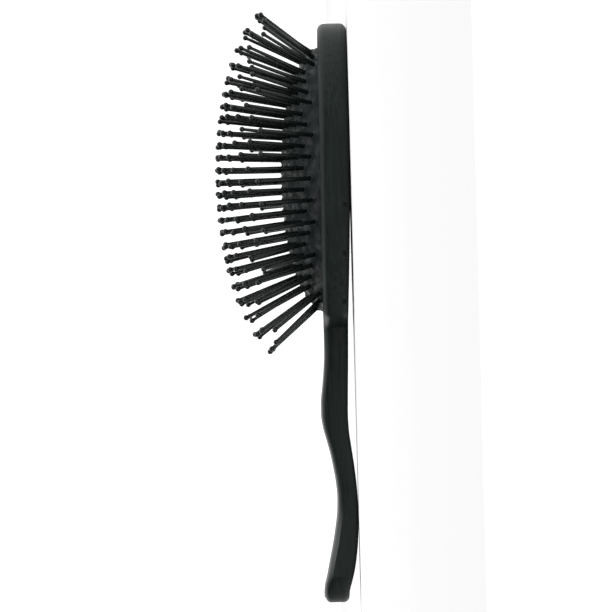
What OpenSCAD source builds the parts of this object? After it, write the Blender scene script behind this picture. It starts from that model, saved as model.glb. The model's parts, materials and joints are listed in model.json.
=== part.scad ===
// Cushioned paddle brush lying on its back: +X runs from the handle end to the
// top of the head, +Y is across the brush, +Z is up along the pins.
// The origin is on the resting plane, under the middle of the whole brush.
// Units are millimetres.

/* [Overall] */
// length of the frame from handle end to head top
frame_len = 240; // [230:1:250]
// half length of the head outline
head_a = 64; // [62:0.5:66]
// half width of the head outline
head_b = 41.5; // [40.5:0.5:43]
// squareness of the head outline
head_n = 2.75; // [2.5:0.05:3]
// rounding of the head's outer edges
edge_r = 2.8; // [2.2:0.1:2.9]

/* [Handle] */
// half width of the handle near its end
grip_w = 14; // [12:0.5:15]
// half width of the handle at its slimmest
neck_w = 10.5; // [9.5:0.5:12]
// rounding of the handle's edges
grip_r = 2.3; // [2:0.1:3]
// width of the thumb facet on the front edges
facet_w = 4.3; // [3:0.1:5]
// height of the thumb facet on the front edges
facet_h = 2.2; // [1.5:0.1:3]

/* [Back cover] */
// thickness of the cover plate
cover_t = 2.1; // [1.9:0.1:2.3]
// thickness of the rib that clamps the cushion
rib_t = 1.8; // [1.4:0.1:2.2]
// gap left round the cover
seam_gap = 0.1; // [0.08:0.01:0.15]
// wall of the head round the chamber
wall_t = 3.1; // [3:0.05:3.3]

/* [Cushion] */
// height of the dome above its flange
dome_h = 17.9; // [17:0.1:18.5]
// half length of the dome
dome_a = 55.1; // [54.5:0.1:55.5]
// radius of the dome across the brush
dome_r = 43; // [41.5:0.5:44]
// thickness of the rubber
skin_t = 1.5; // [1.3:0.1:1.6]
// diameter of the air hole
vent_d = 2.2; // [1.6:0.2:2.6]

/* [Pins] */
// length of a pin from the rubber to the middle of its ball
pin_len = 26.6; // [24:0.2:28]
// shank diameter at the rubber
pin_root_d = 1.9; // [1.7:0.1:2]
// shank diameter under the ball
pin_tip_d = 1.3; // [1.1:0.1:1.5]
// ball diameter
pin_ball_d = 2.2; // [2:0.1:2.3]
// spacing of the rows along the brush
row_pitch = 4.43; // [4.3:0.01:4.45]
// half the spacing of the pins in a row
pin_step = 3.3; // [3.2:0.05:3.35]

/* [Hidden] */
$fn = 48;
n_rows = 25;
off_x = -122.58;          // moves the handle end so that the origin is central
head_x = frame_len - head_a;
pad_x = 175.45;           // middle of the cushion, from the handle end
rim_z = 12.3;             // front of the bezel
flange_z = 10.3;          // front of the cushion flange, behind the bezel
pin_head_d = 3.2;
pin_head_t = 0.7;
pin_splay = 0.88;         // share of the dome's slope that the pins lean out by
pin_drop = 2.9;           // rubber surface to the front of the pin head
dome_zc = flange_z + dome_h - dome_r;

// --- curves -----------------------------------------------------------------
// smooth curve through points [x, value], x rising
function rise(p, i) = (p[i+1][1] - p[i][1]) / (p[i+1][0] - p[i][0]);
function slope(p, i) = i == 0 ? rise(p, 0) : i == len(p) - 1 ? rise(p, i - 1) :
    let (a = rise(p, i - 1), b = rise(p, i)) a*b <= 0 ? 0 : 2*a*b/(a + b);
function seg(p, x, i = 0) = i >= len(p) - 2 || x < p[i+1][0] ? i : seg(p, x, i + 1);
function herm(p, x, i) =
    let (h = p[i+1][0] - p[i][0], t = (x - p[i][0]) / h)
    (2*t*t*t - 3*t*t + 1) * p[i][1] + (t*t*t - 2*t*t + t) * h * slope(p, i)
    + (3*t*t - 2*t*t*t) * p[i+1][1] + (t*t*t - t*t) * h * slope(p, i + 1);
function curve(p, x) = herm(p, min(max(x, p[0][0]), p[len(p)-1][0]), seg(p, x));

// side profile of the brush: back and front height along X
back_pts = [[0, 4.6], [5, 4.25], [10, 2.95], [15, 1.8], [20, 1], [26, 0.35], [33, 0],
    [41, 0], [47, 0.25], [53, 0.75], [60, 1.55], [66, 2.35], [71, 2.95], [77, 3.22],
    [86, 3.03], [100, 2.57], [120, 2.05], [140, 1.25], [160, 0.55], [175, 0.15],
    [184, 0], [200, 0], [220, 0], [240, 0]];
front_pts = [[0, 14.5], [4, 14.85], [7, 14.6], [12, 13.4], [18, 12.15], [25, 10.65],
    [32, 9.45], [38, 8.7], [44, 8.5], [50, 8.95], [56, 9.85], [62, 11], [68, 12.5],
    [73, 13.75], [78, 14.35], [83, 14.3], [90, 13.55], [97, 12.85], [104, 12.45],
    [112, 12.4], [122, 12.4], [150, 12.35], [200, 12.13], [240, 11.95]];
// half width of the handle before the head flares out
width_pts = [[14, grip_w], [22, grip_w - 0.15], [34, grip_w - 1.1], [48, grip_w - 2.5],
    [62, neck_w + 0.25], [74, neck_w], [88, neck_w + 0.3], [102, neck_w + 1], [120, neck_w + 2.4],
    [140, neck_w + 3]];
// edge rounding along X
round_pts = [[0, grip_r + 0.1], [6, grip_r + 0.1], [16, grip_r], [40, grip_r], [70, grip_r], [90, grip_r + 0.3], [112, edge_r + 0.2],
    [130, edge_r], [240, edge_r]];
function back_z(x) = curve(back_pts, x);
function front_z(x) = curve(front_pts, x);
// share of the flat thumb facet on the front edges near the handle end
function facet(x) = x <= 8 || x >= 43 ? 0 : pow(sin(180*pow((x - 8)/35, 0.8)), 1.1);
// the head outline fades in over the shoulder
function shoulder(x) = let (t = min(max((x - head_x + head_a + 2.5)/9.7, 0), 1)) t*t*(3 - 2*t);
function half_w(x) =
    let (q = abs(x - head_x) / head_a,
         w2 = q >= 1 ? 0 : head_b * pow(1 - pow(q, head_n), 1/head_n) * shoulder(x),
         w1 = curve(width_pts, x))
    pow(pow(w1, 3.4) * (x > 150 ? max(0, 1 - (x - 150)/26) : 1) + pow(w2, 3.4), 1/3.4);

// superellipse ring, n points
function oval(cx, a, b, e, n = 96) = [for (i = [0:n-1]) let (t = 360*(i + 0.5)/n)
    [cx + a*sign(cos(t))*pow(abs(cos(t)), 2/e), b*sign(sin(t))*pow(abs(sin(t)), 2/e)]];

// --- outer skin of the frame --------------------------------------------------
// right-hand edge of the outline from handle end to head top
edge_pts = concat(
    [for (t = [4:8.6:90]) [grip_w*(1 - cos(t)), grip_w*sin(t)]],
    [for (x = [17:4.6:105.5]) [x, half_w(x)]],
    [for (x = [108.5:1.2:121]) [x, half_w(x)]],
    [for (x = [122.5:2.4:130]) [x, half_w(x)]],
    [for (x = [133:5:174]) [x, half_w(x)]],
    [for (t = [86:-5:1]) [head_x + head_a*pow(cos(t), 2/head_n), head_b*pow(sin(t), 2/head_n)]]);
function inward(p, i) =
    let (a = i == 0 ? [p[0][0], -p[0][1]] : p[i-1],
         b = i == len(p)-1 ? [p[i][0], -p[i][1]] : p[i+1],
         d = (b - a) / norm(b - a)) [d[1], -d[0]];
ring_deg = [0, 22.5, 45, 67.5, 90];
// one outline ring: inset and height follow a quarter circle at each edge
function ring(side, deg, sgn) = [for (i = [0:len(edge_pts)-1])
    let (p = edge_pts[i], n = inward(edge_pts, i), r = curve(round_pts, p[0]),
         f = side < 0 ? 0 : facet(p[0]),
         q = p + n*((1 - f)*r*(1 - cos(deg)) + f*facet_w*deg/90), x = q[0],
         drop = (1 - f)*r*(1 - sin(deg)) + f*facet_h*(1 - deg/90),
         z = side < 0 ? back_z(x) + drop : front_z(x) - drop)
    [x, sgn*max(q[1], 0.02), z]];
module skin_solid() {
    m = len(edge_pts);
    rings = concat([for (i = [len(ring_deg)-1:-1:0]) [-1, ring_deg[i]]], [for (d = ring_deg) [1, d]]);
    k = len(rings);
    // each ring runs up the +Y edge and back down the -Y edge
    pts = [for (r = rings) each concat(ring(r[0], r[1], 1),
        [for (i = [m-1:-1:0]) ring(r[0], r[1], -1)[i]])];
    w = 2*m;
    sides = [for (j = [0:k-2], i = [0:w-1]) each [
        [j*w + i, j*w + (i+1)%w, (j+1)*w + (i+1)%w],
        [j*w + i, (j+1)*w + (i+1)%w, (j+1)*w + i]]];
    low = [for (i = [0:m-2]) each [[i, w-1-i, i+1], [w-1-i, w-2-i, i+1]]];
    o = (k-1)*w;
    top = [for (i = [0:m-2]) each [[o+i, o+i+1, o+w-1-i], [o+w-1-i, o+i+1, o+w-2-i]]];
    polyhedron(points = pts, faces = concat(sides, low, top), convexity = 8);
}
// space taken by the cover plate: inside the wall, cover_t deep from the back
module cover_space() {
    intersection() {
        translate([0, 60, 0]) rotate([90, 0, 0]) linear_extrude(120)
            polygon([[100, -5], [250, -5], [250, cover_t], [183, cover_t], [100, cover_t + 2.6]]);
        translate([0, 0, -6]) linear_extrude(20)
            polygon(oval(head_x, head_a - wall_t - seam_gap, head_b - wall_t - seam_gap, head_n, 80));
    }
}
// snap points along each side, on the cover plate's edge
function snap_x(i) = 124.6 + 19.8*i;
function seam_z(x) = cover_t + 2.6*max(0, 183 - x)/83;
module snap(i, s, w, h, reach) {
    translate([snap_x(i) - w/2, s > 0 ? 20 : -half_w(snap_x(i)) - reach, seam_z(snap_x(i)) - 0.2 - h/2])
        cube([w, half_w(snap_x(i)) + reach - 20, h]);
}

// --- frame: handle and head in one moulding ------------------------------------
module frame() {
    color([0.16, 0.18, 0.17]) translate([off_x, 0, 0]) difference() {
        skin_solid();
        // chamber behind the cushion, open to the back
        translate([0, 0, -2]) linear_extrude(flange_z + 2)
            polygon(oval(head_x, head_a - wall_t, head_b - wall_t, head_n, 80));
        // window for the cushion
        translate([0, 0, 5]) linear_extrude(12) polygon(oval(pad_x, 58.2, 36.2, head_n, 80));
        // slots for the cover's snap tongues
        for (s = [-1, 1], i = [0:2]) snap(i, s, 2, 1.5, 2);
    }
}

// --- back cover: plate, clamping rib and snap tongues ----------------------------
module back_cover() {
    color([0.14, 0.16, 0.15]) translate([off_x, 0, 0]) difference() {
        union() {
            intersection() {
                skin_solid();
                cover_space();
            }
            // rib that presses the cushion flange against the bezel
            intersection() {
                linear_extrude(flange_z - skin_t - 0.05) difference() {
                    polygon(oval(head_x, head_a - wall_t - 0.3, head_b - wall_t - 0.3, head_n, 80));
                    polygon(oval(head_x, head_a - wall_t - 0.3 - rib_t, head_b - wall_t - 0.3 - rib_t, head_n, 80));
                }
                translate([0, 60, 0]) rotate([90, 0, 0]) linear_extrude(120)
                    polygon([[100, cover_t + 2], [183, cover_t - 0.6], [250, cover_t - 0.6], [250, 20], [100, 20]]);
            }
            // tongues that click into the frame's side slots
            intersection() {
                for (s = [-1, 1], i = [0:2]) snap(i, s, 1.7, 1.2, -1);
                translate([0, 0, -1]) linear_extrude(12) difference() {
                    square(1000, center = true);
                    polygon(oval(head_x, head_a - wall_t - 1.2, head_b - wall_t - 1.2, head_n, 80));
                }
            }
        }
        // air hole through the plate
        translate([pad_x, 0, -2]) cylinder(d = vent_d, h = 8);
    }
}

// --- cushion: domed rubber with its flange ---------------------------------------
// dome radius about the lengthwise axis, dx from the middle
function dome_rho(dx, t = 0) = dome_r - dome_h - t
    + dome_h*sqrt(max(0, 1 - pow(dx/(dome_a - t), 2)));
function dome_z(x, y) = dome_zc + sqrt(pow(dome_rho(x - pad_x), 2) - y*y);
module dome_body(t) {
    m = 9;
    half = [for (i = [0:m]) let (a = 90*i/m, u = (dome_a - t)*cos(a))
        [u, dome_rho(u, t)]];
    foot = t == 0 ? [[57.6, flange_z - dome_zc - 0.01], [56.3, flange_z - dome_zc + 0.5], [55.5, flange_z - dome_zc + 1.2]] : [];
    translate([pad_x, 0, dome_zc]) rotate([0, 90, 0]) rotate([0, 0, 90]) rotate_extrude($fn = 120)
        polygon(concat([[0, -half[0][0] - (t == 0 ? 2.5 : 0)]],
            [for (p = foot) [p[1], -p[0]]],
            [for (p = half) [p[1], -p[0]]],
            [for (i = [m-1:-1:0]) [half[i][1], half[i][0]]],
            [for (i = [len(foot)-1:-1:0]) [foot[i][1], foot[i][0]]],
            [[0, half[0][0] + (t == 0 ? 2.5 : 0)]]));
}
module cushion() {
    color([0.23, 0.24, 0.24]) translate([off_x, 0, 0]) difference() {
        union() {
            intersection() {
                dome_body(0);
                translate([pad_x - 60, -40, flange_z - skin_t]) cube([120, 80, 30]);
            }
            translate([0, 0, flange_z - skin_t]) linear_extrude(skin_t - 0.05)
                polygon(oval(head_x, head_a - wall_t - 0.3, head_b - wall_t - 0.3, head_n, 80));
        }
        dome_body(skin_t);
        for (i = [0:n_rows-1], k = row_ks(i)) at_pin(i, k)
            translate([0, 0, -4]) cylinder(d = pin_root_d + 0.16, h = 7, $fn = 24);
    }
}

// --- pins ------------------------------------------------------------------------
// every second row is shifted sideways by half a spacing
function row_x(i) = pad_x + (i - 12)*row_pitch;
function row_t(i) = (i - 12)/12;
// lengthwise lean of a row, towards the head top
function row_lean(i) = let (t = row_t(i)) -0.5 + (t > 0 ? 19.5*t + 18*pow(t, 4.5) : 17.5*t - 25.5*pow(-t, 3.5));
function row_bow(i) = let (e = min(i, 24 - i)) e == 0 ? 3 : e == 1 ? 1.2 : e == 2 ? 0.5 : 0;
function pin_x(i, k) = row_x(i) - sign(row_t(i))*row_bow(i)*pow(k*pin_step/15.5, 2);
function pin_fits(i, k) = let (r = dome_rho(pin_x(i, k) - pad_x), y = k*pin_step)
    abs(y) < r && dome_zc + sqrt(r*r - y*y) > rim_z + 1;
function row_ks(i) = [for (k = (i % 2 == 1 ? [-8:2:8] : [-9:2:9])) if (pin_fits(i, k)) k];
module at_pin(i, k) {
    y = k*pin_step;
    translate([pin_x(i, k), y, dome_z(pin_x(i, k), y)])
        rotate([0, row_lean(i), 0]) rotate([-pin_splay*asin(y/dome_r), 0, 0]) children();
}
module pin() {
    translate([0, 0, -pin_drop - pin_head_t]) cylinder(d = pin_head_d, h = pin_head_t);
    translate([0, 0, -pin_drop - 0.01]) cylinder(d = pin_root_d, h = pin_drop + 0.61);
    translate([0, 0, 0.6]) cylinder(d1 = pin_root_d, d2 = pin_tip_d, h = pin_len - 0.6);
    translate([0, 0, pin_len]) sphere(d = pin_ball_d);
}
module pin_row(i) {
    color([0.09, 0.1, 0.1]) translate([off_x, 0, 0])
        for (k = row_ks(i)) at_pin(i, k) pin();
}

frame();
back_cover();
cushion();
pin_row(0);  // pin_row_01
pin_row(1);  // pin_row_02
pin_row(2);  // pin_row_03
pin_row(3);  // pin_row_04
pin_row(4);  // pin_row_05
pin_row(5);  // pin_row_06
pin_row(6);  // pin_row_07
pin_row(7);  // pin_row_08
pin_row(8);  // pin_row_09
pin_row(9);  // pin_row_10
pin_row(10);  // pin_row_11
pin_row(11);  // pin_row_12
pin_row(12);  // pin_row_13
pin_row(13);  // pin_row_14
pin_row(14);  // pin_row_15
pin_row(15);  // pin_row_16
pin_row(16);  // pin_row_17
pin_row(17);  // pin_row_18
pin_row(18);  // pin_row_19
pin_row(19);  // pin_row_20
pin_row(20);  // pin_row_21
pin_row(21);  // pin_row_22
pin_row(22);  // pin_row_23
pin_row(23);  // pin_row_24
pin_row(24);  // pin_row_25
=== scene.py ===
import bpy, bmesh, json, math
import numpy as np
from mathutils import Vector, Matrix

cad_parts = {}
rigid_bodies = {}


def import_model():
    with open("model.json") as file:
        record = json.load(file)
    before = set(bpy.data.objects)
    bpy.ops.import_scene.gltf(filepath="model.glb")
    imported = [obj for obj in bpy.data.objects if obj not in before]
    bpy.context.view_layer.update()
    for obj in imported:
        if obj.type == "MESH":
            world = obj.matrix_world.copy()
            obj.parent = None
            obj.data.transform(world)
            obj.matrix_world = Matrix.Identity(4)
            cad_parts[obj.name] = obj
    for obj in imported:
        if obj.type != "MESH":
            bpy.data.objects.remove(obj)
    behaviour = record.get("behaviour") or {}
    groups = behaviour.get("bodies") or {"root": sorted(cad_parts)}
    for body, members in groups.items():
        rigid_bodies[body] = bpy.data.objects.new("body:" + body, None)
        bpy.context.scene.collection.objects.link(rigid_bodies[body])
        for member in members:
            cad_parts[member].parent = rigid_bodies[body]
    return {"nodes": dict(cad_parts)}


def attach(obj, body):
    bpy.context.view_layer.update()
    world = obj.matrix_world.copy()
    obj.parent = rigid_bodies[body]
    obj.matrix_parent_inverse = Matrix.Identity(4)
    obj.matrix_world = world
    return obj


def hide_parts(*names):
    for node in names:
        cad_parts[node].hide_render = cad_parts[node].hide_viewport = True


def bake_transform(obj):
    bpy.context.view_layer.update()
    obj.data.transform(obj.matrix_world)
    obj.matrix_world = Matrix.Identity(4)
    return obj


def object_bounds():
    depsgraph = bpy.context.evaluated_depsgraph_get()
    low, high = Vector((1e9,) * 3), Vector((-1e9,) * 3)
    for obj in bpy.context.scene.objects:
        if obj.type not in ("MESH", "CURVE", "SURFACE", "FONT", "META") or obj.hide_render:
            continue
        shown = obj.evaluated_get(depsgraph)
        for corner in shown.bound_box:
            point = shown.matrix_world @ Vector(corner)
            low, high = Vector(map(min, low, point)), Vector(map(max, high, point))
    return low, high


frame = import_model()
cad_low, cad_high = [list(map(float, v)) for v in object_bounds()]
scene = bpy.context.scene
MM = 0.001

# ---------------------------------------------------------------------------
# shared dimensions, in millimetres, from the handle end (the CAD's own sizes)
OFF = -122.58
frame_len, head_a, head_b, head_n, edge_r = 240.0, 64.0, 41.5, 2.75, 2.8
grip_w, neck_w, grip_r, cover_t = 14.0, 10.5, 2.3, 2.1
dome_h, dome_a, dome_r = 17.9, 55.1, 43.0
pin_len, root_d, tip_d, ball_d = 26.6, 1.9, 1.3, 2.2
row_pitch, pin_step = 4.43, 3.3
head_x, pad_x, rim_z, flange_z = frame_len - head_a, 175.45, 12.3, 10.3
dome_zc = flange_z + dome_h - dome_r


def monotone(points):
    """Smooth curve through points that never overshoots them."""
    p = np.array(points, float)
    h = np.diff(p[:, 0])
    d = np.diff(p[:, 1]) / h
    m = np.zeros(len(p))
    m[0], m[-1] = d[0], d[-1]
    for i in range(1, len(p) - 1):
        a, b = d[i - 1], d[i]
        m[i] = 0 if a * b <= 0 else 2 * a * b / (a + b)

    def f(x):
        x = np.clip(np.asarray(x, float), p[0, 0], p[-1, 0])
        i = np.clip(np.searchsorted(p[:, 0], x, side="right") - 1, 0, len(p) - 2)
        t = (x - p[i, 0]) / h[i]
        return ((2*t**3 - 3*t**2 + 1) * p[i, 1] + (t**3 - 2*t**2 + t) * h[i] * m[i]
                + (3*t**2 - 2*t**3) * p[i + 1, 1] + (t**3 - t**2) * h[i] * m[i + 1])
    return f


back_z = monotone([[0, 4.6], [5, 4.25], [10, 2.95], [15, 1.8], [20, 1], [26, 0.35], [33, 0],
    [41, 0], [47, 0.25], [53, 0.75], [60, 1.55], [66, 2.35], [71, 2.95], [77, 3.22],
    [86, 3.03], [100, 2.57], [120, 2.05], [140, 1.25], [160, 0.55], [175, 0.15],
    [184, 0], [200, 0], [220, 0], [240, 0]])
front_z = monotone([[0, 14.5], [4, 14.85], [7, 14.6], [12, 13.4], [18, 12.15], [25, 10.65],
    [32, 9.45], [38, 8.7], [44, 8.5], [50, 8.95], [56, 9.85], [62, 11], [68, 12.5],
    [73, 13.75], [78, 14.35], [83, 14.3], [90, 13.55], [97, 12.85], [104, 12.45],
    [112, 12.4], [122, 12.4], [150, 12.35], [200, 12.13], [240, 11.95]])
width_c = monotone([[14, grip_w], [22, grip_w - 0.15], [34, grip_w - 1.1], [48, grip_w - 2.5],
    [62, neck_w + 0.25], [74, neck_w], [88, neck_w + 0.3], [102, neck_w + 1], [120, neck_w + 2.4],
    [140, neck_w + 3]])
round_c = monotone([[0, grip_r + 0.1], [6, grip_r + 0.1], [16, grip_r], [40, grip_r], [70, grip_r], [90, grip_r + 0.3], [112, edge_r + 0.2],
    [130, edge_r], [240, edge_r]])


def facet(x):
    """Share of the flat thumb facet on the front edges near the handle end."""
    return np.where((x > 8) & (x < 43), np.abs(np.sin(np.pi * np.clip((x - 8) / 35, 0, 1) ** 0.8)) ** 1.1, 0.0)


def half_w(x):
    x = np.asarray(x, float)
    q = np.clip(np.abs(x - head_x) / head_a, 0, 1)
    t = np.clip((x - head_x + head_a + 2.5) / 9.7, 0, 1)
    w2 = head_b * (1 - q**head_n) ** (1 / head_n) * t * t * (3 - 2 * t)
    w1 = width_c(x)
    k = np.where(x > 150, np.clip(1 - (x - 150) / 26, 0, None), 1.0)
    return (w1**3.4 * k + w2**3.4) ** (1 / 3.4)


def oval(cx, a, b, e, n):
    t = 2 * np.pi * (np.arange(n) + 0.5) / n
    return np.stack([cx + a * np.sign(np.cos(t)) * np.abs(np.cos(t)) ** (2 / e),
                     b * np.sign(np.sin(t)) * np.abs(np.sin(t)) ** (2 / e)], 1)


def seam_z(x):
    return cover_t + 2.6 * np.clip(183 - np.asarray(x, float), 0, None) / 83


# ---------------------------------------------------------------------------
def make_obj(name, verts_mm, faces, link=True):
    v = np.asarray(verts_mm, float) * MM
    v = v + np.array([OFF * MM, 0, 0])
    me = bpy.data.meshes.new(name)
    me.from_pydata(v.tolist(), [], [list(map(int, f)) for f in faces])
    me.validate()
    me.update()
    o = bpy.data.objects.new(name, me)
    if link:
        scene.collection.objects.link(o)
    bm = bmesh.new()
    bm.from_mesh(me)
    bmesh.ops.recalc_face_normals(bm, faces=bm.faces)
    bm.to_mesh(me)
    bm.free()
    return o


def boolean(target, cutter, op):
    m = target.modifiers.new("cut", "BOOLEAN")
    m.operation, m.solver, m.object = op, "EXACT", cutter
    dg = bpy.context.evaluated_depsgraph_get()
    me = bpy.data.meshes.new_from_object(target.evaluated_get(dg))
    target.modifiers.clear()
    old = target.data
    target.data = me
    bpy.data.meshes.remove(old)


def remove(o):
    me = o.data
    bpy.data.objects.remove(o)
    bpy.data.meshes.remove(me)


def smooth(o, angle=35):
    me = o.data
    me.polygons.foreach_set("use_smooth", np.ones(len(me.polygons), bool))
    me.set_sharp_from_angle(angle=math.radians(angle))
    me.update()


def clean(o, dist=0.00002):
    bm = bmesh.new()
    bm.from_mesh(o.data)
    bmesh.ops.remove_doubles(bm, verts=bm.verts, dist=dist)
    bmesh.ops.dissolve_degenerate(bm, edges=bm.edges, dist=dist / 2)
    # a cut can leave a fin of two faces on the same points: take both away
    bmesh.ops.triangulate(bm, faces=[f for f in bm.faces if len(f.verts) > 4])
    twins = {}
    for f in bm.faces:
        twins.setdefault(tuple(sorted(v.index for v in f.verts)), []).append(f)
    fins = [f for group in twins.values() if len(group) > 1 for f in group]
    if fins:
        bmesh.ops.delete(bm, geom=fins, context="FACES")
    bmesh.ops.recalc_face_normals(bm, faces=bm.faces)
    bm.to_mesh(o.data)
    bm.free()


# ---------------------------------------------------------------------------
# outer skin of the shell, one fine lofted grid
def skin_mesh(name):
    ends = np.radians(np.concatenate([[1.5], np.arange(4, 90, 3.6)]))
    E = [np.stack([grip_w * (1 - np.cos(ends)), grip_w * np.sin(ends)], 1)]
    xs = np.concatenate([np.arange(15.3, 108, 1.5), np.arange(108.4, 121.5, 0.4), np.arange(122, 132, 0.9), np.arange(132.8, 174.5, 1.7)])
    E.append(np.stack([xs, half_w(xs)], 1))
    t = np.radians(np.concatenate([np.arange(88, 2.5, -1.7), [2.0, 1.2, 0.6, 0.25]]))
    E.append(np.stack([head_x + head_a * np.cos(t) ** (2 / head_n), head_b * np.sin(t) ** (2 / head_n)], 1))
    P = np.concatenate(E)
    prev = np.vstack([[P[0, 0], -P[0, 1]], P[:-1]])
    nxt = np.vstack([P[1:], [P[-1, 0], -P[-1, 1]]])
    d = nxt - prev
    d /= np.linalg.norm(d, axis=1)[:, None]
    n = np.stack([d[:, 1], -d[:, 0]], 1)
    r = round_c(P[:, 0])
    f = facet(P[:, 0])
    degs = np.radians(np.linspace(0, 90, 9))
    rings = []          # from the back cap's edge round the side to the front cap's edge
    for dg in degs[::-1]:
        q = P + n * (r * (1 - math.cos(dg)))[:, None]
        z = back_z(q[:, 0]) + r * (1 - math.sin(dg))
        rings.append(np.stack([q[:, 0], np.maximum(q[:, 1], 0.02), z], 1))
    for dg in degs:
        s = dg / (math.pi / 2)
        inset = (1 - f) * r * (1 - math.cos(dg)) + f * 4.3 * s
        depth = (1 - f) * r * (1 - math.sin(dg)) + f * 2.2 * (1 - s) ** 1.12
        q = P + n * inset[:, None]
        z = front_z(q[:, 0]) - depth
        rings.append(np.stack([q[:, 0], np.maximum(q[:, 1], 0.02), z], 1))
    C = 12              # columns across the caps
    R, M = len(rings), len(P)
    rings = np.array(rings)                                    # R, M, 3
    crown = np.interp(P[:, 0], [0, 30, 80, 112, 118], [0.45, 0.55, 0.5, 0.1, 0.0])
    loop = []
    v = np.linspace(1, -1, C + 1)
    for a in v:                                                # front cap, +y to -y
        p = rings[-1] * [1, a, 1]
        p[:, 2] -= crown * a * a
        loop.append(p)
    for j in range(R - 2, 0, -1):                              # -y side, front to back
        p = rings[j] * [1, -1, 1]
        if j >= R // 2:
            p[:, 2] -= crown * (j - R // 2 + 1) / (R // 2)
        loop.append(p)
    for a in v[::-1]:                                          # back cap, -y to +y
        p = rings[0] * [1, a, 1]
        loop.append(p)
    for j in range(1, R - 1):                                  # +y side, back to front
        p = rings[j].copy()
        if j >= R // 2:
            p[:, 2] -= crown * (j - R // 2 + 1) / (R // 2)
        loop.append(p)
    L = len(loop)
    V = np.array(loop).reshape(-1, 3)                          # L, M
    F = []
    for a in range(L):
        b = (a + 1) % L
        for i in range(M - 1):
            F.append([a * M + i, a * M + i + 1, b * M + i + 1, b * M + i])
    V = V.tolist()
    # close both ends with a grid that shares the loop's points
    for i in (0, M - 1):
        top = [a * M + i for a in range(C + 1)]
        left = [(C + 1 + k) * M + i for k in range(R - 2)]                 # -y, front to back
        bot = [(C + 1 + R - 2 + k) * M + i for k in range(C + 1)][::-1]    # +y ... -y
        right = [(2 * (C + 1) + R - 2 + k) * M + i for k in range(R - 2)][::-1]   # +y, front to back
        rows = [top]
        for k in range(R - 2):
            A, B = np.array(V[right[k]]), np.array(V[left[k]])
            row = [right[k]]
            for c in range(1, C):
                V.append((A + (B - A) * c / C).tolist())
                row.append(len(V) - 1)
            row.append(left[k])
            rows.append(row)
        rows.append(bot)
        for k in range(len(rows) - 1):
            for c in range(C):
                F.append([rows[k][c], rows[k][c + 1], rows[k + 1][c + 1], rows[k + 1][c]])
    return make_obj(name, V, F)


def prism(name, outline, levels):
    """Closed prism through levels of (height or function of x, outset)."""
    n = len(outline)
    d = np.roll(outline, -1, 0) - np.roll(outline, 1, 0)
    nn = np.stack([d[:, 1], -d[:, 0]], 1)
    nn /= np.linalg.norm(nn, axis=1)[:, None]
    V, F = [], []
    for z, out in levels:
        zz = z(outline[:, 0]) if callable(z) else np.full(n, float(z))
        V += np.column_stack([outline + nn * out, zz]).tolist()
    for k in range(len(levels) - 1):
        for i in range(n):
            j = (i + 1) % n
            F.append([k*n + i, k*n + j, (k+1)*n + j, (k+1)*n + i])
    F.append(list(range(n))[::-1])
    F.append([(len(levels) - 1) * n + i for i in range(n)])
    return make_obj(name, V, F)


def slab(name, xz):
    """Side profile drawn across the whole brush."""
    n = len(xz)
    V = [[x, y, z] for y in (-60.0, 60.0) for x, z in xz]
    F = [list(range(n)), list(range(2 * n - 1, n - 1, -1))]
    F += [[i, (i + 1) % n, n + (i + 1) % n, n + i] for i in range(n)]
    return make_obj(name, V, F)


def box(name, x0, x1, y0, y1, z0, z1):
    V = [[x, y, z] for x in (x0, x1) for y in (y0, y1) for z in (z0, z1)]
    F = [[0, 1, 3, 2], [4, 6, 7, 5], [0, 4, 5, 1], [2, 3, 7, 6], [0, 2, 6, 4], [1, 5, 7, 3]]
    return make_obj(name, V, F)


def snap_box(name, i, s, w, h, reach, y_in):
    x = 124.6 + 19.8 * i
    y = float(half_w(x)) + reach
    z = float(seam_z(x)) - 0.2
    a, b = sorted((s * y_in, s * y))
    return box(name, x - w / 2, x + w / 2, a, b, z - h / 2, z + h / 2)


def oval_y(x, inset):
    return (head_b - inset) * (1 - min(1, abs(x - head_x) / (head_a - inset)) ** head_n) ** (1 / head_n)


WALL, GAP, RIB, TOP = 3.1, 0.1, 1.8, flange_z - 1.55
bevel = 0.25
skin = skin_mesh("paddle_frame")
cover = bpy.data.objects.new("back_plate", skin.data.copy())
scene.collection.objects.link(cover)


def cut(target, tool, op):
    boolean(target, tool, op)
    remove(tool)


# chamber behind the cushion, open to the back with a fine bevel round its edge
cut(skin, prism("cut_chamber", oval(head_x, head_a - WALL, head_b - WALL, head_n, 240),
    [(-6, bevel), (back_z, bevel), (lambda x: back_z(x) + bevel, 0), (10.3, 0)]), "DIFFERENCE")
fl = [(5, 0.0), (lambda x: front_z(x) - 1.0, 0.0)]
for a in np.radians([15, 30, 45, 60, 75, 90]):
    fl.append((lambda x, a=a: front_z(x) - 1.0 + math.sin(a), 1.0 * (1 - math.cos(a))))
fl.append((17, 1.0))
cut(skin, prism("cut_window", oval(pad_x, 58.2, 36.2, head_n, 260), fl), "DIFFERENCE")
for s in (-1, 1):
    for i in range(3):
        cut(skin, snap_box("cut_slot", i, s, 2.0, 1.5, 2.0, 20), "DIFFERENCE")
clean(skin)
smooth(skin, 32)
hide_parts("frame")
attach(skin, "shell")

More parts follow.
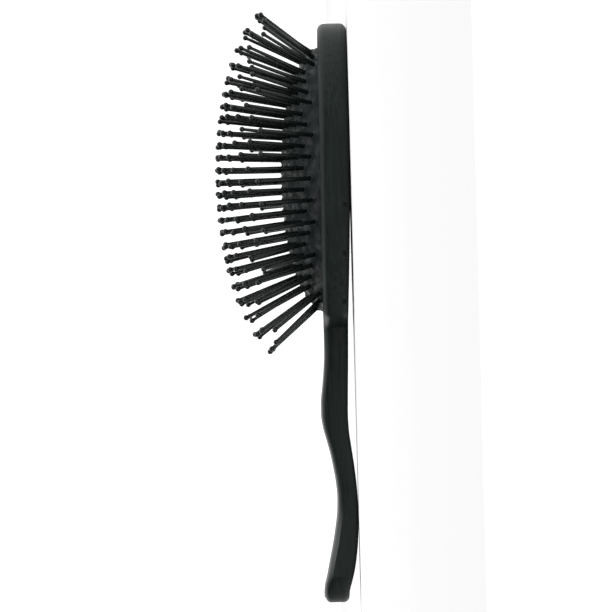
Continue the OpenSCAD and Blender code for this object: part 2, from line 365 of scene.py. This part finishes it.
# cover: inlaid plate with the clamping rib, the snap tongues and the air hole
cut(cover, slab("cut_slab", [(100, -5), (250, -5), (250, cover_t), (183, cover_t), (100, cover_t + 2.6)]), "INTERSECT")
e = WALL + GAP
cut(cover, prism("cut_plate", oval(head_x, head_a - e, head_b - e, head_n, 240),
    [(-6, -bevel), (back_z, -bevel), (lambda x: back_z(x) + bevel, 0), (12, 0)]), "INTERSECT")
e = WALL + 0.3
rib = prism("rib", oval(head_x, head_a - e, head_b - e, head_n, 240), [(0, 0), (TOP, 0)])
cut(rib, prism("rib_in", oval(head_x, head_a - e - RIB, head_b - e - RIB, head_n, 240), [(-1, 0), (14, 0)]), "DIFFERENCE")
cut(rib, slab("rib_low", [(100, cover_t + 2), (183, cover_t - 0.6), (250, cover_t - 0.6), (250, 20), (100, 20)]), "INTERSECT")
cut(cover, rib, "UNION")
for s in (-1, 1):
    for i in range(3):
        cut(cover, snap_box("tongue", i, s, 1.7, 1.2, -1.0, oval_y(124.6 + 19.8 * i, WALL + 1.2)), "UNION")
cut(cover, prism("cut_vent", oval(pad_x, 1.1, 1.1, 2, 32), [(-2, 0), (6, 0)]), "DIFFERENCE")
clean(cover)
smooth(cover, 32)
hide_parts("back_cover")
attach(cover, "shell")


# ---------------------------------------------------------------------------
# pins: same places as the CAD rows, each with a moulded pin's small scatter
def rho(dx):
    return dome_r - dome_h + dome_h * np.sqrt(np.clip(1 - (dx / dome_a) ** 2, 0, None))


def dome_z(x, y):
    r = rho(x - pad_x)
    return dome_zc + np.sqrt(np.clip(r * r - y * y, 0, None))


def row_t(i): return (i - 12) / 12
def row_lean(i):
    t = row_t(i)
    return -0.5 + (19.5 * t + 18 * t**4.5 if t > 0 else 17.5 * t - 25.5 * (-t)**3.5)
def row_bow(i): return {0: 3.0, 1: 1.2, 2: 0.5}.get(min(i, 24 - i), 0.0)
def pin_x(i, k):
    return pad_x + (i - 12) * row_pitch - np.sign(row_t(i)) * row_bow(i) * (k * pin_step / 15.5) ** 2
def row_ks(i):
    out = []
    for k in (range(-8, 9, 2) if i % 2 == 1 else range(-9, 10, 2)):
        r, y = rho(pin_x(i, k) - pad_x), k * pin_step
        if abs(y) < r and dome_zc + math.sqrt(r * r - y * y) > rim_z + 1:
            out.append(k)
    return out


def scatter(i, k, n):
    """Repeatable value from -1 to 1 for a pin."""
    v = math.sin((i * 12.9898 + k * 78.233 + n * 37.719) * 1.0) * 43758.5453
    return 2 * (v - math.floor(v)) - 1


# profile of a pin: (radius, height), from under the rubber to the ball
prof = [(0.0, -3.6), (1.45, -3.6), (1.6, -3.48), (1.6, -3.02), (1.48, -2.9), (0.95, -2.88), (0.95, -0.2), (0.95, 0.6)]
prof += [(root_d/2 + (tip_d/2 - root_d/2) * t, 0.6 + (pin_len - 1.6) * t) for t in (0.12, 0.3, 0.5, 0.7, 0.88)]
ball = ball_d / 2
prof += [(tip_d/2 + 0.0, pin_len - 1.25), (tip_d/2 + 0.05, pin_len - 1.02)]
for a in np.radians([-48, -30, -10, 10, 30, 50, 68, 82]):
    prof.append((ball * math.cos(a), pin_len + ball * math.sin(a)))
prof.append((0.0, pin_len + ball))
SEG = 14
pin_pts = []
for i in range(25):
    V, F = [], []
    # pins lean less evenly towards both ends, apart from the two outermost rows
    loose = 1.8 if i in (0, 24) else 1.8 + 1.4 * min(1.0, max(0.0, (abs(i - 12) - 4) / 4))
    for k in row_ks(i):
        x, y = float(pin_x(i, k)), k * pin_step
        z = float(dome_z(x, y))
        lean = math.radians(row_lean(i) + loose * scatter(i, k, 1))
        side = 0.88 * math.asin(y / dome_r) + math.radians(1.5 * scatter(i, k, 2))
        rot = Matrix.Rotation(lean, 3, "Y") @ Matrix.Rotation(-side, 3, "X")
        bend = (0.25 * scatter(i, k, 3), 0.25 * scatter(i, k, 4))
        pin_pts.append((x, y, z))
        base = len(V)
        rings = []
        for r, h in prof:
            t = max(0.0, h / pin_len)
            bx, by = bend[0] * t * t, bend[1] * t * t
            if r == 0:
                p = rot @ Vector((bx, by, h))
                V.append([x + p.x, y + p.y, z + p.z])
                rings.append([len(V) - 1])
            else:
                ids = []
                for s in range(SEG):
                    a = 2 * math.pi * s / SEG
                    p = rot @ Vector((bx + r * math.cos(a), by + r * math.sin(a), h))
                    V.append([x + p.x, y + p.y, z + p.z])
                    ids.append(len(V) - 1)
                rings.append(ids)
        for a, b in zip(rings[:-1], rings[1:]):
            for s in range(SEG):
                t = (s + 1) % SEG
                if len(a) == 1:
                    F.append([a[0], b[t], b[s]])
                elif len(b) == 1:
                    F.append([a[s], a[t], b[0]])
                else:
                    F.append([a[s], a[t], b[t], b[s]])
    name = "pin_row_%02d" % (i + 1)
    o = make_obj("pins_%02d" % (i + 1), V, F)
    smooth(o, 50)
    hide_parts(name)
    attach(o, name)
pin_pts = np.array(pin_pts)


# ---------------------------------------------------------------------------
# rubber cushion: domed skin with a small collar moulded round every pin
def cushion_mesh(name):
    NT, NR = ((560, 120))
    th = 2 * np.pi * np.arange(NT) / NT
    cx, sx = np.cos(th), np.sin(th)
    level = flange_z + 1.2
    lo, hi = np.zeros(NT), np.full(NT, 60.0)
    for _ in range(40):
        m = (lo + hi) / 2
        x, y = m * cx, m * sx
        r = rho(x)
        inside = (np.abs(x) < dome_a) & (r > np.abs(y))
        z = np.where(inside, dome_zc + np.sqrt(np.clip(r*r - y*y, 0, None)), -50)
        lo, hi = np.where(z > level, m, lo), np.where(z > level, hi, m)
    Rb = lo
    s = np.sin(np.pi / 2 * np.linspace(0, 1, NR + 1))[1:]
    V = [[pad_x, 0, float(dome_z(pad_x, 0.0))]]
    rings = []
    for k in s:
        x, y = Rb * k * cx, Rb * k * sx
        rings.append(np.stack([pad_x + x, y, dome_z(pad_x + x, y)], 1))
    for out, z in ((0.15, 10.98), (0.5, 10.56), (1.0, 10.36), (1.7, 10.3)):
        x, y = (Rb + out) * cx, (Rb + out) * sx
        rings.append(np.stack([pad_x + x, y, np.full(NT, z)], 1))
    # flange, up to the clamped edge
    a, b = head_a - 3.4, head_b - 3.4
    rf = (np.abs(cx / a) ** head_n + np.abs(sx / b) ** head_n) ** (-1 / head_n)
    for t in (0.5, 1.0):
        rr = (Rb + 1.7) * (1 - t) + rf * t
        rings.append(np.stack([pad_x + rr * cx, rr * sx, np.full(NT, 10.27)], 1))
    rings = np.array(rings)
    n_top = len(rings)
    # collars
    flat = rings.reshape(-1, 3)
    nrm = np.stack([(flat[:, 0] - pad_x) * 0.0, flat[:, 1], flat[:, 2] - dome_zc], 1)
    dx = np.clip((flat[:, 0] - pad_x) / dome_a, -0.995, 0.995)
    nrm[:, 0] = dx * dome_h / dome_a / np.sqrt(1 - dx * dx) * np.linalg.norm(nrm[:, 1:], axis=1)
    nrm /= np.linalg.norm(nrm, axis=1)[:, None]
    lift = np.zeros(len(flat))
    for p in pin_pts:
        d = np.linalg.norm(flat - p, axis=1)
        u = np.clip((2.0 - d) / 0.75, 0, 1)
        c = 0.55 * (u * u * (3 - 2 * u))
        w = np.clip((1.25 - d) / 0.4, 0, 1)
        c = c - 0.30 * (w * w * (3 - 2 * w)) * (c > 0)
        lift = np.maximum(lift, c)
    flat = flat + nrm * lift[:, None]
    rings = flat.reshape(n_top, NT, 3)
    V += rings.reshape(-1, 3).tolist()
    F = [[0, 1 + i, 1 + (i + 1) % NT] for i in range(NT)]
    for k in range(n_top - 1):
        a0, b0 = 1 + k * NT, 1 + (k + 1) * NT
        F += [[a0 + i, b0 + i, b0 + (i + 1) % NT, a0 + (i + 1) % NT] for i in range(NT)]
    # underside: a plain inner skin, coarser inwards
    last = 1 + (n_top - 1) * NT
    under = []
    ks = [1.0, 0.97, 0.93, 0.87, 0.78, 0.66, 0.5, 0.32, 0.15]
    outer = rings[-1]
    under.append(outer + [0, 0, -1.45])
    for k in ks:
        x, y = (Rb - 1.6) * k * cx, (Rb - 1.6) * k * sx
        zz = np.maximum(dome_z(pad_x + x * 1.02, y * 1.02) - 1.9, 8.82)
        under.append(np.stack([pad_x + x, y, zz], 1))
    start = len(V)
    for u in under:
        V += u.tolist()
    prev = last
    for k in range(len(under)):
        cur = start + k * NT
        F += [[prev + i, cur + i, cur + (i + 1) % NT, prev + (i + 1) % NT] for i in range(NT)]
        prev = cur
    V.append([pad_x, 0, float(dome_z(pad_x, 0.0)) - 1.6])
    F += [[prev + i, len(V) - 1, prev + (i + 1) % NT] for i in range(NT)]
    return make_obj(name, V, F)


cush = cushion_mesh("rubber_cushion")
smooth(cush, 60)
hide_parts("cushion")
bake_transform(cush)


# ---------------------------------------------------------------------------
# materials
def new_mat(name):
    m = bpy.data.materials.new(name)
    m.use_nodes = True
    nt = m.node_tree
    nt.nodes.clear()
    out = nt.nodes.new("ShaderNodeOutputMaterial")
    b = nt.nodes.new("ShaderNodeBsdfPrincipled")
    nt.links.new(b.outputs[0], out.inputs[0])
    return m, nt, b


def noise(nt, scale, detail=4.0, rough=0.5, vec=None, squash=None):
    n = nt.nodes.new("ShaderNodeTexNoise")
    n.inputs["Scale"].default_value = scale
    n.inputs["Detail"].default_value = detail
    n.inputs["Roughness"].default_value = rough
    tc = nt.nodes.new("ShaderNodeTexCoord")
    if squash is not None:
        mp = nt.nodes.new("ShaderNodeMapping")
        mp.inputs["Scale"].default_value = squash
        nt.links.new(tc.outputs["Object"], mp.inputs[0])
        nt.links.new(mp.outputs[0], n.inputs["Vector"])
    else:
        nt.links.new(tc.outputs["Object"], n.inputs["Vector"])
    return n


def ramp(nt, fac, stops):
    r = nt.nodes.new("ShaderNodeValToRGB")
    while len(r.color_ramp.elements) < len(stops):
        r.color_ramp.elements.new(0.5)
    for e, (p, c) in zip(r.color_ramp.elements, stops):
        e.position = p
        e.color = (*c, 1) if len(c) == 3 else c
    nt.links.new(fac, r.inputs[0])
    return r


def mix(nt, a, b, fac, kind="MIX"):
    m = nt.nodes.new("ShaderNodeMix")
    m.data_type = "RGBA"
    m.blend_type = kind
    for sock, v in ((m.inputs[6], a), (m.inputs[7], b)):
        if isinstance(v, tuple):
            sock.default_value = (*v, 1)
        else:
            nt.links.new(v, sock)
    if isinstance(fac, (int, float)):
        m.inputs[0].default_value = fac
    else:
        nt.links.new(fac, m.inputs[0])
    return m.outputs[2]


def bump(nt, b, height, strength, dist, prev=None):
    n = nt.nodes.new("ShaderNodeBump")
    n.inputs["Strength"].default_value = strength
    n.inputs["Distance"].default_value = dist
    nt.links.new(height, n.inputs["Height"])
    if prev is not None:
        nt.links.new(prev.outputs[0], n.inputs["Normal"])
    nt.links.new(n.outputs[0], b.inputs["Normal"])
    return n


def plastic(name, dark, light, edge, rough):
    m, nt, b = new_mat(name)
    big = noise(nt, 18, 3, 0.55)
    streak = noise(nt, 1000, 3, 0.6, squash=(0.03, 1, 1))
    fine = noise(nt, 2600, 2, 0.5)
    col = ramp(nt, big.outputs[0], [(0.3, dark), (0.72, light)]).outputs[0]
    s = ramp(nt, streak.outputs[0], [(0.34, (0.5, 0.5, 0.5)), (0.68, (1.6, 1.6, 1.6))]).outputs[0]
    col = mix(nt, col, s, 1.0, "MULTIPLY")
    geo = nt.nodes.new("ShaderNodeNewGeometry")
    e = ramp(nt, geo.outputs["Pointiness"], [(0.5, (0, 0, 0)), (0.58, (1, 1, 1))]).outputs[0]
    ef = nt.nodes.new("ShaderNodeMath")
    ef.operation = "MULTIPLY"
    ef.inputs[1].default_value = 0.45
    nt.links.new(e, ef.inputs[0])
    col = mix(nt, col, edge, ef.outputs[0])
    nt.links.new(col, b.inputs["Base Color"])
    rr = nt.nodes.new("ShaderNodeMapRange")
    rr.inputs[1].default_value, rr.inputs[2].default_value = 0.3, 0.7
    rr.inputs[3].default_value, rr.inputs[4].default_value = rough - 0.06, rough + 0.08
    nt.links.new(streak.outputs[0], rr.inputs[0])
    nt.links.new(rr.outputs[0], b.inputs["Roughness"])
    b.inputs["IOR"].default_value = 1.5
    b.inputs["Specular IOR Level"].default_value = 0.25
    n1 = bump(nt, b, fine.outputs[0], 0.35, 0.00003)
    bump(nt, b, streak.outputs[0], 0.55, 0.00008, n1)
    return m


shell_mat = plastic("shell_satin_plastic", (0.0060, 0.0106, 0.0094), (0.0094, 0.0156, 0.0140), (0.020, 0.028, 0.0262), 0.44)
cover_mat = plastic("cover_satin_plastic", (0.0056, 0.0100, 0.0088), (0.0088, 0.0146, 0.0131), (0.019, 0.0265, 0.025), 0.48)


def rubber(name):
    m, nt, b = new_mat(name)
    big = noise(nt, 45, 4, 0.6)
    fine = noise(nt, 1500, 3, 0.6)
    dust = noise(nt, 420, 5, 0.7)
    patch = noise(nt, 230, 3, 0.55)                     # worn and matt patches a few millimetres across
    col = ramp(nt, big.outputs[0], [(0.3, (0.0070, 0.0110, 0.0112)), (0.72, (0.0128, 0.0184, 0.0190))]).outputs[0]
    d = ramp(nt, dust.outputs[0], [(0.55, (0, 0, 0)), (0.75, (1, 1, 1))]).outputs[0]
    df = nt.nodes.new("ShaderNodeMath")
    df.operation = "MULTIPLY"
    df.inputs[1].default_value = 0.25
    nt.links.new(d, df.inputs[0])
    col = mix(nt, col, (0.046, 0.060, 0.066), df.outputs[0])
    geo = nt.nodes.new("ShaderNodeNewGeometry")
    e = ramp(nt, geo.outputs["Pointiness"], [(0.505, (0, 0, 0)), (0.56, (1, 1, 1))]).outputs[0]
    ef = nt.nodes.new("ShaderNodeMath")
    ef.operation = "MULTIPLY"
    ef.inputs[1].default_value = 0.8
    nt.links.new(e, ef.inputs[0])
    col = mix(nt, col, (0.043, 0.056, 0.058), ef.outputs[0])
    nt.links.new(col, b.inputs["Base Color"])
    rr = nt.nodes.new("ShaderNodeMapRange")
    rr.inputs[1].default_value, rr.inputs[2].default_value = 0.42, 0.6
    rr.inputs[3].default_value, rr.inputs[4].default_value = 0.78, 0.36
    nt.links.new(patch.outputs[0], rr.inputs[0])
    nt.links.new(rr.outputs[0], b.inputs["Roughness"])
    b.inputs["Specular IOR Level"].default_value = 0.3
    n1 = bump(nt, b, fine.outputs[0], 0.5, 0.00004)
    bump(nt, b, dust.outputs[0], 0.3, 0.00008, n1)
    return m


def nylon(name):
    m, nt, b = new_mat(name)
    big = noise(nt, 60, 2, 0.5)
    fine = noise(nt, 2200, 2, 0.5)
    long = noise(nt, 700, 2, 0.5, squash=(1, 1, 0.08))
    col = ramp(nt, big.outputs[0], [(0.3, (0.0058, 0.0090, 0.0084)), (0.75, (0.0095, 0.0140, 0.0133))]).outputs[0]
    nt.links.new(col, b.inputs["Base Color"])
    rr = nt.nodes.new("ShaderNodeMapRange")
    rr.inputs[1].default_value, rr.inputs[2].default_value = 0.3, 0.7
    rr.inputs[3].default_value, rr.inputs[4].default_value = 0.22, 0.34
    nt.links.new(long.outputs[0], rr.inputs[0])
    nt.links.new(rr.outputs[0], b.inputs["Roughness"])
    b.inputs["Specular IOR Level"].default_value = 0.42
    bump(nt, b, fine.outputs[0], 0.2, 0.00002)
    return m


rubber_mat, nylon_mat = rubber("cushion_rubber_matt"), nylon("pin_nylon_black")


def give(o, m):
    o.data.materials.clear()
    o.data.materials.append(m)


give(skin, shell_mat)
give(cover, cover_mat)
give(cush, rubber_mat)
for o in scene.objects:
    if o.name.startswith("pins_"):
        give(o, nylon_mat)
for n, o in frame["nodes"].items():
    m = shell_mat if n == "frame" else cover_mat if n == "back_cover" else rubber_mat if n == "cushion" else nylon_mat
    for s in range(max(1, len(o.material_slots))):
        if len(o.material_slots):
            o.material_slots[s].material = m

# ---------------------------------------------------------------------------
# floor, light and camera
m, nt, b = new_mat("floor_white")
fn = noise(nt, 3, 2, 0.5)
nt.links.new(ramp(nt, fn.outputs[0], [(0.3, (0.93, 0.93, 0.93)), (0.7, (0.95, 0.95, 0.95))]).outputs[0], b.inputs["Base Color"])
b.inputs["Roughness"].default_value = 0.9
b.inputs["Specular IOR Level"].default_value = 0.1
me = bpy.data.meshes.new("floor")
S = 1.6
me.from_pydata([(-S, -S, 0), (S, -S, 0), (S, S, 0), (-S, S, 0)], [], [(0, 1, 2, 3)])
floor = bpy.data.objects.new("floor", me)
floor.location = (0, 0, cad_low[2] - 0.0002)
scene.collection.objects.link(floor)
me.materials.append(m)

w = bpy.data.worlds.new("studio")
scene.world = w
w.use_nodes = True
wn = w.node_tree
bg = wn.nodes["Background"]
bg.inputs[0].default_value = (1.0, 1.0, 1.0, 1)
wt = wn.nodes.new("ShaderNodeTexCoord")
wx = wn.nodes.new("ShaderNodeSeparateXYZ")
wn.links.new(wt.outputs["Generated"], wx.inputs[0])
wr = wn.nodes.new("ShaderNodeMapRange")            # bright wall behind, dim room in front
wr.inputs[1].default_value, wr.inputs[2].default_value = -0.3, 0.4
wr.inputs[3].default_value, wr.inputs[4].default_value = 0.02, 1.27
wy = wn.nodes.new("ShaderNodeMath")                # height counts as much as depth: the ceiling is bright
wy.operation = "ADD"
wn.links.new(wx.outputs[1], wy.inputs[0])
wn.links.new(wx.outputs[2], wy.inputs[1])
wz = wn.nodes.new("ShaderNodeMath")                # and the head's end of the room is brighter than the handle's
wz.operation = "MULTIPLY_ADD"
wz.inputs[1].default_value = 1.1
wn.links.new(wx.outputs[0], wz.inputs[0])
wn.links.new(wy.outputs[0], wz.inputs[2])
wn.links.new(wz.outputs[0], wr.inputs[0])
wl = wn.nodes.new("ShaderNodeLightPath")           # the backdrop itself is plain white from anywhere
wm = wn.nodes.new("ShaderNodeMath")
wm.operation = "MAXIMUM"
wn.links.new(wr.outputs[0], wm.inputs[0])
wn.links.new(wl.outputs["Is Camera Ray"], wm.inputs[1])
wn.links.new(wm.outputs[0], bg.inputs[1])
scene.view_settings.view_transform = "Standard"


def area(name, loc, aim, size, power, color=(1, 1, 1)):
    l = bpy.data.lights.new(name, "AREA")
    l.shape, l.size, l.size_y = "RECTANGLE", size[0], size[1]
    l.energy, l.color = power, color
    o = bpy.data.objects.new(name, l)
    scene.collection.objects.link(o)
    o.location = loc
    d = Vector(aim) - Vector(loc)
    o.rotation_euler = d.to_track_quat("-Z", "Y").to_euler()
    return o


area("key_head", (0.95, -0.12, 0.35), (0.1, 0, 0.02), (0.35, 0.35), 0.55)
area("overhead", (0.0, 0.1, 1.1), (0, 0, 0.0), (1.6, 1.2), 3.0)

# photo frame: 612 px across is 254 mm; up in the picture is towards the head
S_MM = 0.415
tilt = math.radians(1.48)
ux = Vector((math.cos(tilt), 0, -math.sin(tilt)))       # up in the picture
uz = Vector((math.sin(tilt), 0, math.cos(tilt)))        # left in the picture
# the brush frame's zero: handle end, head back plane
org = Vector(((0 + OFF) * MM, 0, 0)) + Vector((0, 0, (3.9 + 33 * math.tan(tilt)) * MM))
centre = org + ux * ((602 - 306) * S_MM * MM) + uz * ((349 - 306) * S_MM * MM)
D = 2.2
cam = bpy.data.cameras.new("cam")
cam.type = "PERSP"
cam.sensor_width = cam.sensor_height = 36
cam.lens = 36 * D / (612 * S_MM * MM)
cam.clip_end = 50
co = bpy.data.objects.new("cam", cam)
scene.collection.objects.link(co)
right = -uz
up = ux
back = right.cross(up)
co.matrix_world = Matrix((( right.x, up.x, back.x, 0), (right.y, up.y, back.y, 0), (right.z, up.z, back.z, 0), (0, 0, 0, 1)))
co.location = centre + back * D
scene.camera = co
